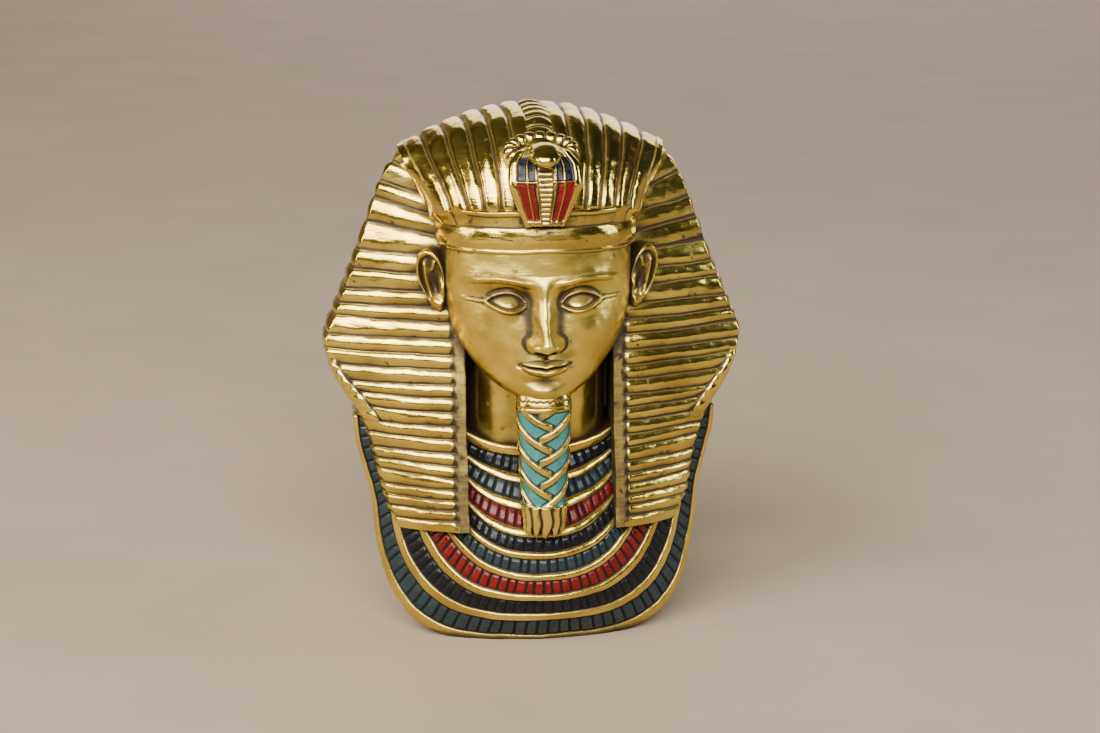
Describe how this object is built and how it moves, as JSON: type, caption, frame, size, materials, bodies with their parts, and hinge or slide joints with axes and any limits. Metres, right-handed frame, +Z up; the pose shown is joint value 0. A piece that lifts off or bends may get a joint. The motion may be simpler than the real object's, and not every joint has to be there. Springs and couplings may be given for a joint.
{
  "type": "figurine bust",
  "caption": "Small cast brass figurine: bust of a king in a ribbed headcloth with two lappets, a brow cobra, a straight false beard and a broad enamelled collar, on a flat underside.",
  "frame": {"origin": "centre of the flat underside, on the level the bust stands on, midway across its width", "axes": "+Z up along the figure's height, -Y the way the face looks, +X to the right as one looks at the face"},
  "size_m": [0.0544, 0.0351, 0.07],
  "materials": {
    "brass": "polished antique brass, dark patina in the grooves; the collar and beard recesses hold glossy red, black and blue-green enamel, shown as colour in the scene"
  },
  "bodies": {
    "root": {"cast_bust": "brass"}
  },
  "joints": []
}
